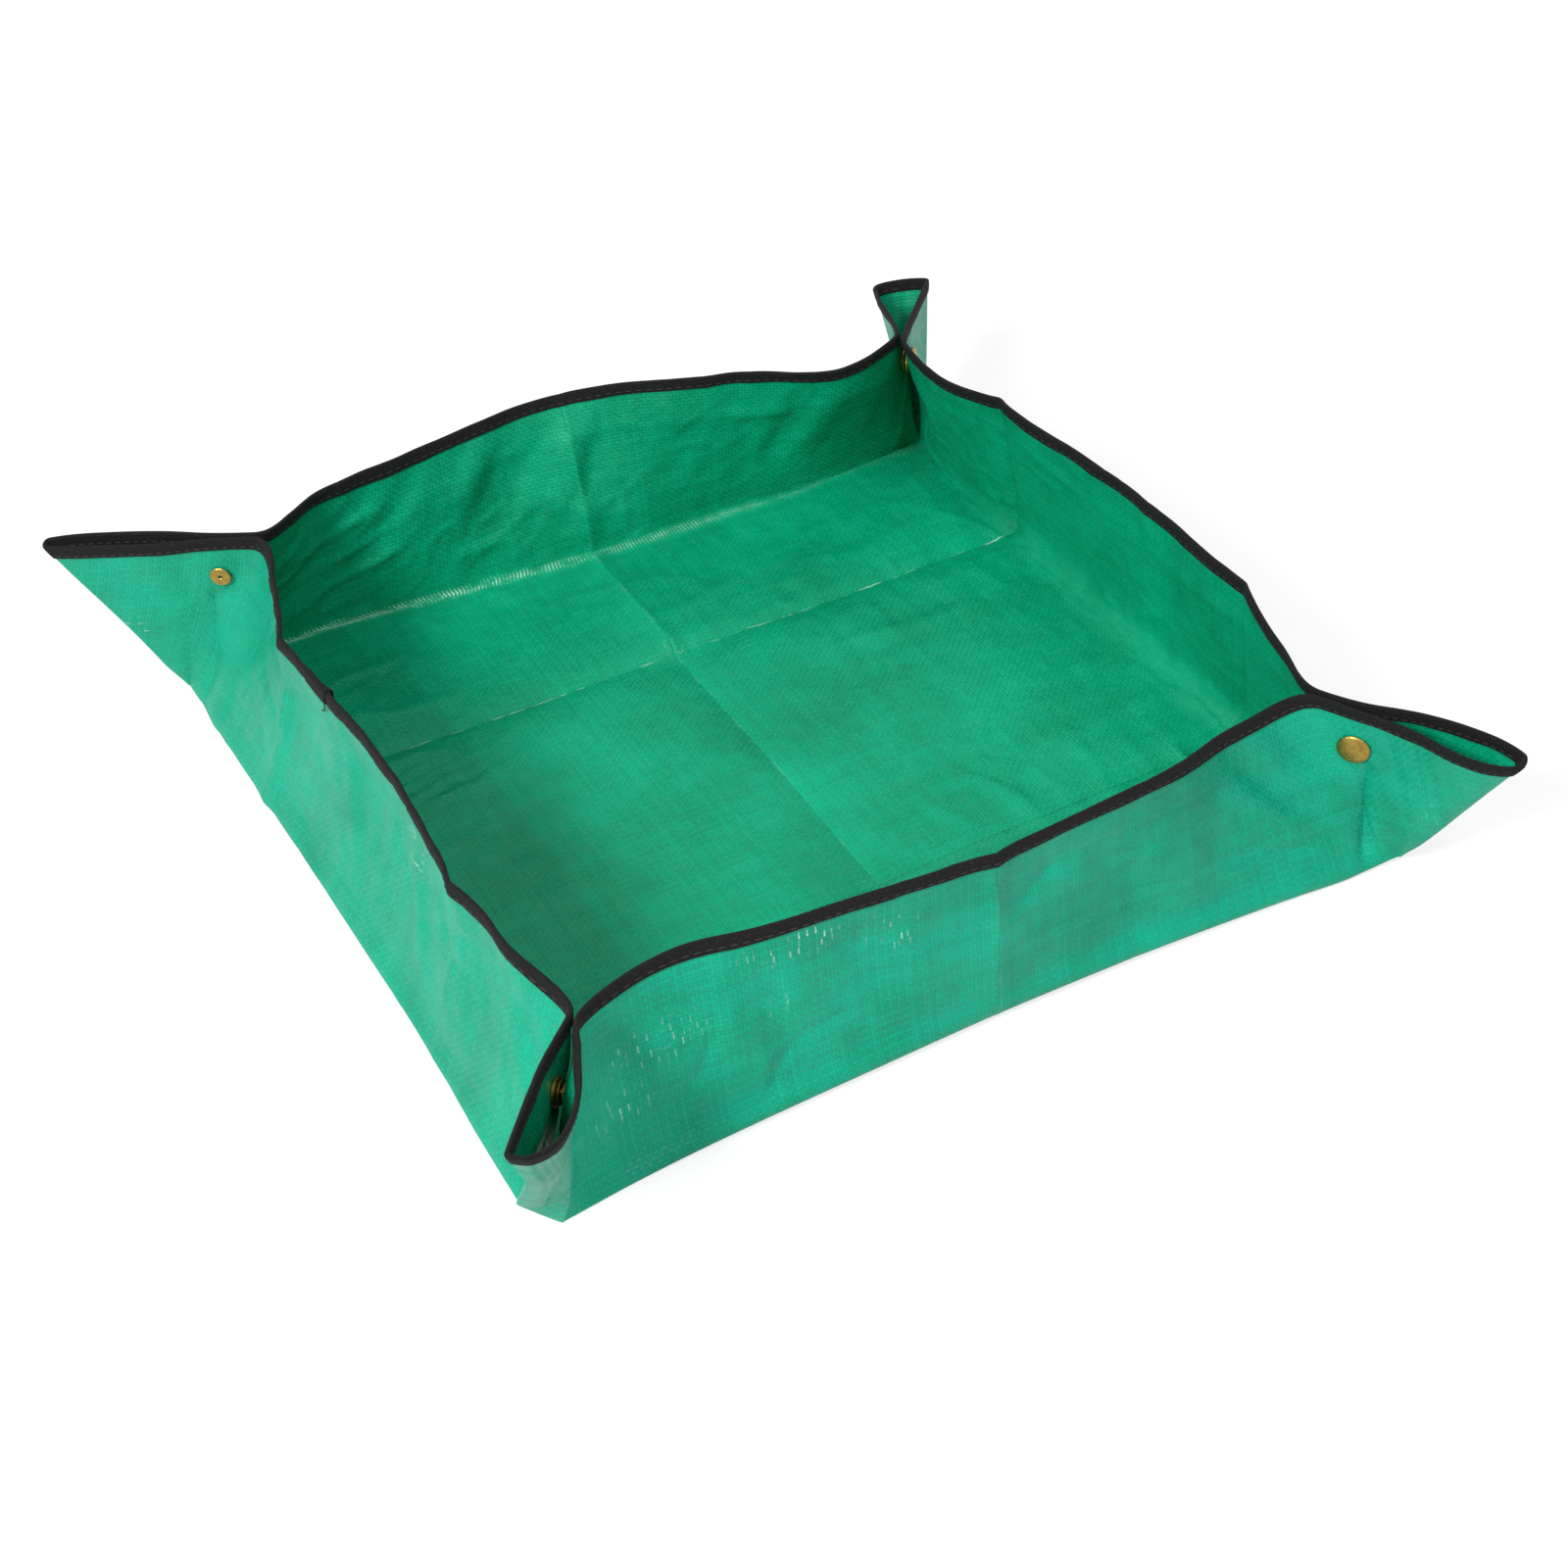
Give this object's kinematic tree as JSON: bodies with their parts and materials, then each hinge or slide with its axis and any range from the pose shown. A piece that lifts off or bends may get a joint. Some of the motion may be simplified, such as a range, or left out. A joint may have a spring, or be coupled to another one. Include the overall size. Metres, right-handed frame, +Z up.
{
  "type": "repotting mat",
  "caption": "Square mat of coated woven sheet with a bound edge, folded up into a shallow tray for repotting plants and held at each corner by a press snap.",
  "frame": {"origin": "under the middle of the floor, on the surface that the mat rests on", "axes": "+Z up; the four walls face +X, -X, +Y and -Y, and the front wall is the one at -Y"},
  "size_m": [0.4194, 0.423, 0.0815],
  "materials": {
    "woven_sheet": "coated tape-yarn weave, semi-gloss, green on both faces",
    "binding_tape": "black woven binding tape, matte",
    "snap_brass": "aged brass, satin"
  },
  "bodies": {
    "floor": {"floor_panel": "woven_sheet"},
    "front_wall": {"front_wall": "woven_sheet", "front_wall_tape": "binding_tape"},
    "right_wall": {"right_wall": "woven_sheet", "right_wall_tape": "binding_tape"},
    "back_wall": {"back_wall": "woven_sheet", "back_wall_tape": "binding_tape"},
    "left_wall": {"left_wall": "woven_sheet", "left_wall_tape": "binding_tape"},
    "front_ear_half_front_left": {"front_ear_half_front_left": "woven_sheet", "front_ear_half_front_left_tape": "binding_tape", "snap_stud_front_left": "snap_brass", "snap_post_front_left": "snap_brass"},
    "left_ear_half_front_left": {"left_ear_half_front_left": "woven_sheet", "left_ear_half_front_left_tape": "binding_tape", "snap_cap_front_left": "snap_brass", "snap_socket_front_left": "snap_brass"},
    "front_ear_half_front_right": {"front_ear_half_front_right": "woven_sheet", "front_ear_half_front_right_tape": "binding_tape", "snap_cap_front_right": "snap_brass", "snap_socket_front_right": "snap_brass"},
    "right_ear_half_front_right": {"right_ear_half_front_right": "woven_sheet", "right_ear_half_front_right_tape": "binding_tape", "snap_stud_front_right": "snap_brass", "snap_post_front_right": "snap_brass"},
    "right_ear_half_back_right": {"right_ear_half_back_right": "woven_sheet", "right_ear_half_back_right_tape": "binding_tape", "snap_cap_back_right": "snap_brass", "snap_socket_back_right": "snap_brass"},
    "back_ear_half_back_right": {"back_ear_half_back_right": "woven_sheet", "back_ear_half_back_right_tape": "binding_tape", "snap_stud_back_right": "snap_brass", "snap_post_back_right": "snap_brass"},
    "back_ear_half_back_left": {"back_ear_half_back_left": "woven_sheet", "back_ear_half_back_left_tape": "binding_tape", "snap_cap_back_left": "snap_brass", "snap_socket_back_left": "snap_brass"},
    "left_ear_half_back_left": {"left_ear_half_back_left": "woven_sheet", "left_ear_half_back_left_tape": "binding_tape", "snap_stud_back_left": "snap_brass", "snap_post_back_left": "snap_brass"}
  },
  "joints": [
    {"name": "front_wall_fold", "type": "hinge", "parent": "floor", "child": "front_wall", "pos_m": [0, -0.173, 0.00025], "axis": [1, 0, 0], "range_deg": [0, 72]},
    {"name": "right_wall_fold", "type": "hinge", "parent": "floor", "child": "right_wall", "pos_m": [0.173, 0, 0.00025], "axis": [0, 1, 0], "range_deg": [0, 72]},
    {"name": "back_wall_fold", "type": "hinge", "parent": "floor", "child": "back_wall", "pos_m": [0, 0.173, 0.00025], "axis": [-1, 0, 0], "range_deg": [0, 72]},
    {"name": "left_wall_fold", "type": "hinge", "parent": "floor", "child": "left_wall", "pos_m": [-0.173, 0, 0.00025], "axis": [0, -1, 0], "range_deg": [0, 72]},
    {"name": "front_ear_half_front_left_fold", "type": "hinge", "parent": "front_wall", "child": "front_ear_half_front_left", "pos_m": [-0.173, -0.173, 0.00025], "axis": [0.3912, 0.304, 0.8687], "range_deg": [-48.5, 0]},
    {"name": "left_ear_half_front_left_fold", "type": "hinge", "parent": "left_wall", "child": "left_ear_half_front_left", "pos_m": [-0.173, -0.173, 0.00025], "axis": [0.2439, 0.3937, 0.8863], "range_deg": [0, 45.3]},
    {"name": "front_ear_half_front_right_fold", "type": "hinge", "parent": "front_wall", "child": "front_ear_half_front_right", "pos_m": [0.173, -0.173, 0.00025], "axis": [-0.4066, 0.3338, 0.8505], "range_deg": [0, 51.9]},
    {"name": "right_ear_half_front_right_fold", "type": "hinge", "parent": "right_wall", "child": "right_ear_half_front_right", "pos_m": [0.173, -0.173, 0.00025], "axis": [-0.2983, 0.4123, 0.8608], "range_deg": [-36, 0]},
    {"name": "right_ear_half_back_right_fold", "type": "hinge", "parent": "right_wall", "child": "right_ear_half_back_right", "pos_m": [0.173, 0.173, 0.00025], "axis": [-0.3067, -0.4012, 0.8631], "range_deg": [0, 37.3]},
    {"name": "back_ear_half_back_right_fold", "type": "hinge", "parent": "back_wall", "child": "back_ear_half_back_right", "pos_m": [0.173, 0.173, 0.00025], "axis": [-0.397, -0.3262, 0.8579], "range_deg": [-50.4, 0]},
    {"name": "back_ear_half_back_left_fold", "type": "hinge", "parent": "back_wall", "child": "back_ear_half_back_left", "pos_m": [-0.173, 0.173, 0.00025], "axis": [0.3973, -0.2462, 0.884], "range_deg": [0, 28.4]},
    {"name": "left_ear_half_back_left_fold", "type": "hinge", "parent": "left_wall", "child": "left_ear_half_back_left", "pos_m": [-0.173, 0.173, 0.00025], "axis": [0.2978, -0.3865, 0.8729], "range_deg": [-50.2, 0]}
  ],
  "couplings": [
    {"joint": "right_wall_fold", "follows": "front_wall_fold", "ratio": 1},
    {"joint": "back_wall_fold", "follows": "front_wall_fold", "ratio": 1},
    {"joint": "left_wall_fold", "follows": "front_wall_fold", "ratio": 1},
    {"joint": "front_ear_half_front_left_fold", "follows": "front_wall_fold", "ratio": -0.673},
    {"joint": "left_ear_half_front_left_fold", "follows": "front_wall_fold", "ratio": 0.629},
    {"joint": "front_ear_half_front_right_fold", "follows": "front_wall_fold", "ratio": 0.72},
    {"joint": "right_ear_half_front_right_fold", "follows": "front_wall_fold", "ratio": -0.499},
    {"joint": "right_ear_half_back_right_fold", "follows": "front_wall_fold", "ratio": 0.518},
    {"joint": "back_ear_half_back_right_fold", "follows": "front_wall_fold", "ratio": -0.699},
    {"joint": "back_ear_half_back_left_fold", "follows": "front_wall_fold", "ratio": 0.394},
    {"joint": "left_ear_half_back_left_fold", "follows": "front_wall_fold", "ratio": -0.696}
  ]
}
